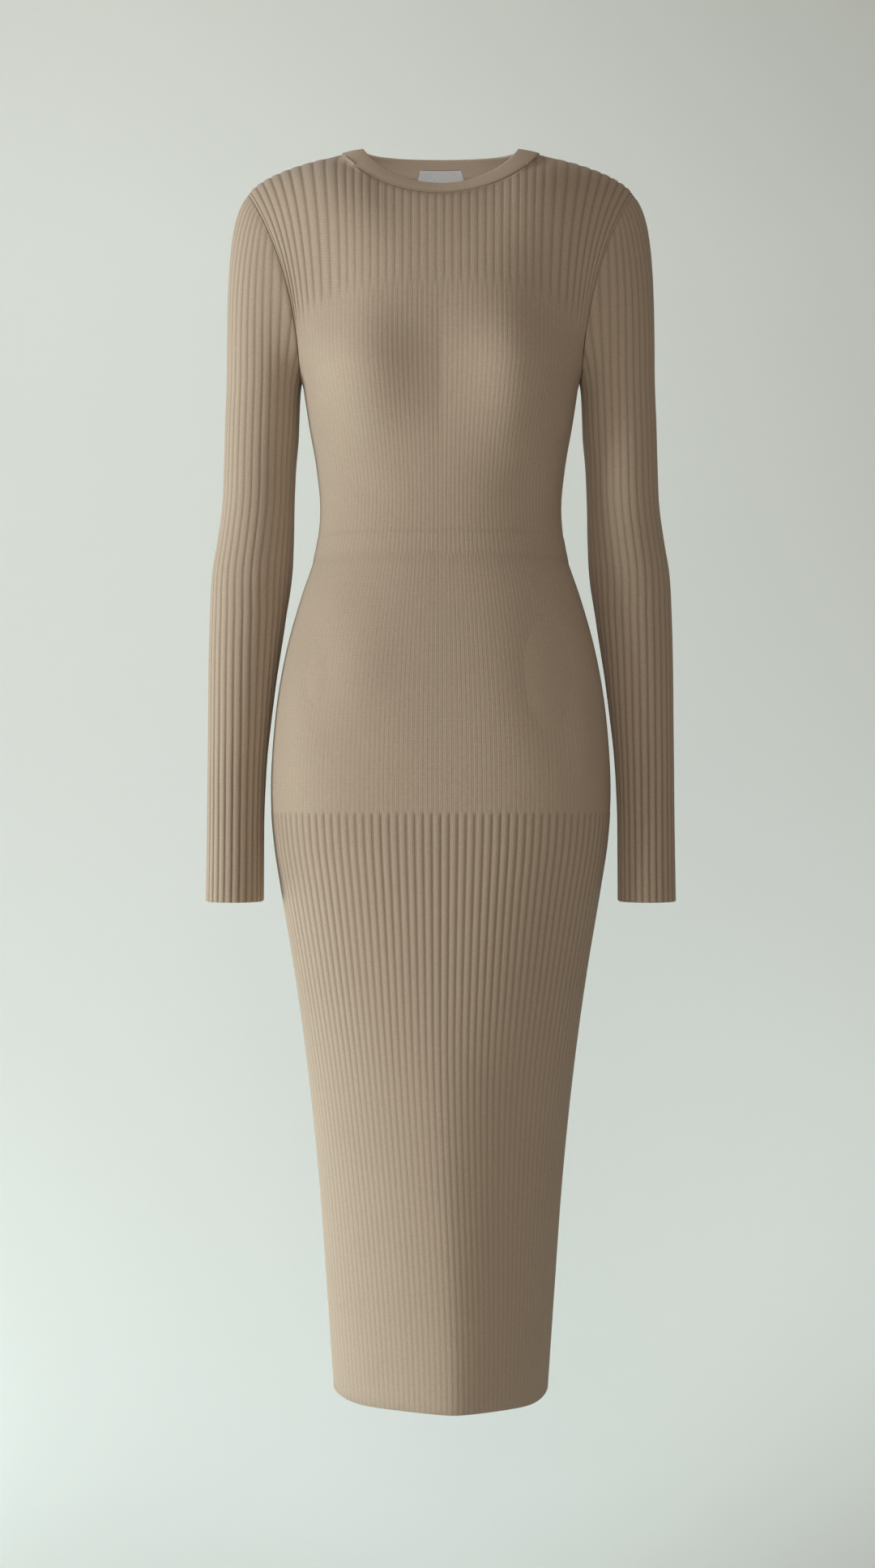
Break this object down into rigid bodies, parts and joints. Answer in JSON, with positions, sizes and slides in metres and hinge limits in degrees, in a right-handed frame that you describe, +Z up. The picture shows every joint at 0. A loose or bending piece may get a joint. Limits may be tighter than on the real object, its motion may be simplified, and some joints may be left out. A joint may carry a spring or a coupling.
{
  "type": "sweater dress",
  "caption": "Long-sleeved, fitted midi sweater dress in rib knit with a crew neck, hollow and filled out as worn.",
  "frame": {"origin": "midway between the two points where the shoulders meet the neck, where the wearer holds the dress up", "axes": "+Z up along the wearer's spine, -Y out of the front, +X towards the wearer's left"},
  "size_m": [0.4594, 0.2311, 1.2313],
  "materials": {
    "rib_knit": "taupe ribbed wool-blend knit, matt with a soft nap",
    "neckband_knit": "taupe fine knit, matt",
    "woven_label": "pale grey woven tape, bare"
  },
  "bodies": {
    "root": {"front": "rib_knit", "back": "rib_knit", "sleeve_left": "rib_knit", "sleeve_right": "rib_knit", "neckband": "neckband_knit", "neck_label": "woven_label"}
  },
  "joints": []
}
